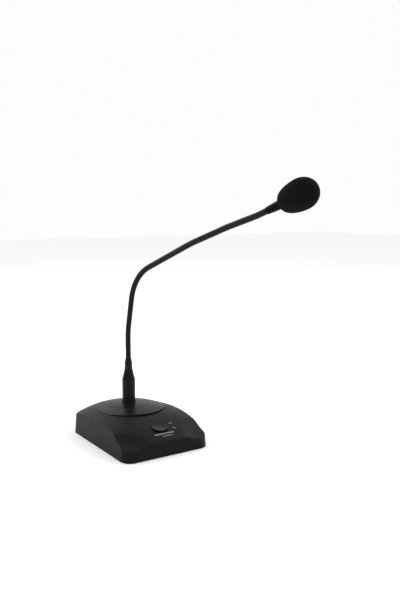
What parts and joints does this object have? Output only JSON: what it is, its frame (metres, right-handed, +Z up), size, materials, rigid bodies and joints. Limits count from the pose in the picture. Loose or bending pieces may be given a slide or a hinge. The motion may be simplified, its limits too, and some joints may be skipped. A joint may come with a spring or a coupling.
{
  "type": "gooseneck microphone",
  "caption": "Gooseneck podium microphone: domed desk base with round talk button, lamp and rear outlet, plug-in flexible neck and foam windscreen.",
  "frame": {"origin": "middle of the base's footprint, on the desk", "axes": "+Z up; -Y towards the speaker, the side with the talk button; the neck leans towards -Y and a little to +X"},
  "size_m": [0.1477, 0.3934, 0.376],
  "materials": {
    "shell_plastic": "satin, fine grain",
    "platform_plastic": "semi-gloss",
    "plated_steel": "powder coat",
    "foot_rubber": "matte",
    "screw_steel": "zinc plated",
    "ballast_iron": "rough",
    "standoff_brass": "plated",
    "board_laminate": "solder mask",
    "chip_plastic": "moulded",
    "capacitor_sleeve": "shrink sleeve",
    "header_plastic": "moulded",
    "socket_metal": "black anodised",
    "lamp_epoxy": "tinted, unlit",
    "lead_wire": "tinned",
    "bezel_plastic": "gloss",
    "cable_jacket": "soft PVC",
    "button_plastic": "satin",
    "plug_metal": "satin black",
    "collar_metal": "black chrome",
    "neck_steel": "satin black coil",
    "sleeve_metal": "satin black",
    "gasket_rubber": "matte",
    "capsule_metal": "satin",
    "foam": "open-cell foam"
  },
  "bodies": {
    "base": {"top_shell": "shell_plastic", "platform_disc": "platform_plastic", "bottom_plate": "plated_steel", "rubber_feet": "foot_rubber", "bottom_screws": "screw_steel", "ballast_weight": "ballast_iron", "ballast_screws": "screw_steel", "main_board": "board_laminate", "board_standoffs": "standoff_brass", "board_screws": "screw_steel", "amp_chip": "chip_plastic", "capacitors": "capacitor_sleeve", "wire_headers": "header_plastic", "socket_shell": "socket_metal", "socket_insert": "chip_plastic", "socket_contacts": "standoff_brass", "socket_screws": "screw_steel", "switch_board": "board_laminate", "switch_board_screws": "screw_steel", "switch_body": "chip_plastic", "lamp": "lamp_epoxy", "lamp_leads": "lead_wire", "lamp_bezel": "bezel_plastic", "outlet_shell": "socket_metal", "outlet_insert": "chip_plastic", "outlet_pins": "standoff_brass", "outlet_screws": "screw_steel", "socket_lead": "cable_jacket", "outlet_lead": "cable_jacket", "switch_lead": "cable_jacket"},
    "button": {"talk_button": "button_plastic", "switch_plunger": "header_plastic"},
    "plug": {"plug_shell": "plug_metal", "plug_insert": "chip_plastic", "plug_pins": "standoff_brass", "plug_chuck": "chip_plastic", "plug_boot": "plug_metal", "neck_collar": "collar_metal", "neck_span_1": "neck_steel", "neck_lead_1": "cable_jacket"},
    "neck_part_2": {"neck_span_2": "neck_steel", "neck_lead_2": "cable_jacket"},
    "neck_part_3": {"neck_span_3": "neck_steel", "neck_lead_3": "cable_jacket"},
    "neck_part_4": {"neck_span_4": "neck_steel", "neck_lead_4": "cable_jacket"},
    "neck_part_5": {"neck_span_5": "neck_steel", "neck_lead_5": "cable_jacket"},
    "neck_part_6": {"neck_span_6": "neck_steel", "neck_lead_6": "cable_jacket"},
    "head": {"neck_span_7": "neck_steel", "neck_lead_7": "cable_jacket", "head_sleeve": "sleeve_metal", "capsule_housing": "sleeve_metal", "capsule_gasket": "gasket_rubber", "capsule": "capsule_metal", "capsule_grille": "capsule_metal"},
    "foam": {"windscreen": "foam"}
  },
  "joints": [
    {"name": "talk_press", "type": "slide", "parent": "base", "child": "button", "axis": [0, 0.2079, -0.9781], "range_m": [0, 0.0025], "stiffness_N_per_m": 400, "springref_m": -0.0025},
    {"name": "neck_unplug", "type": "slide", "parent": "base", "child": "plug", "axis": [0, 0, 1], "range_m": [0, 0.03]},
    {"name": "neck_bend_1", "type": "hinge", "parent": "plug", "child": "neck_part_2", "pos_m": [0.00001, 0.02916, 0.1494], "axis": [-0.9816, -0.1908, 0], "range_deg": [-20, 25]},
    {"name": "neck_swing_1", "type": "hinge", "parent": "neck_part_2", "child": "neck_part_3", "pos_m": [0.00181, 0.0199, 0.20758], "axis": [0.1872, -0.9632, -0.1927], "range_deg": [-25, 25]},
    {"name": "neck_bend_2", "type": "hinge", "parent": "neck_part_3", "child": "neck_part_4", "pos_m": [0.0081, -0.01246, 0.2531], "axis": [-0.9816, -0.1908, 0], "range_deg": [-20, 25]},
    {"name": "neck_bend_3", "type": "hinge", "parent": "neck_part_4", "child": "neck_part_5", "pos_m": [0.01824, -0.06464, 0.27627], "axis": [-0.9816, -0.1908, 0], "range_deg": [-20, 25]},
    {"name": "neck_swing_2", "type": "hinge", "parent": "neck_part_5", "child": "neck_part_6", "pos_m": [0.02848, -0.11734, 0.29818], "axis": [0.0629, -0.3236, -0.9441], "range_deg": [-25, 25]},
    {"name": "neck_bend_4", "type": "hinge", "parent": "neck_part_6", "child": "head", "pos_m": [0.03931, -0.17301, 0.31774], "axis": [-0.9816, -0.1908, 0], "range_deg": [-20, 25]},
    {"name": "windscreen_pull", "type": "slide", "parent": "head", "child": "foam", "axis": [0.1785, -0.9183, 0.3535], "range_m": [0, 0.045]}
  ]
}
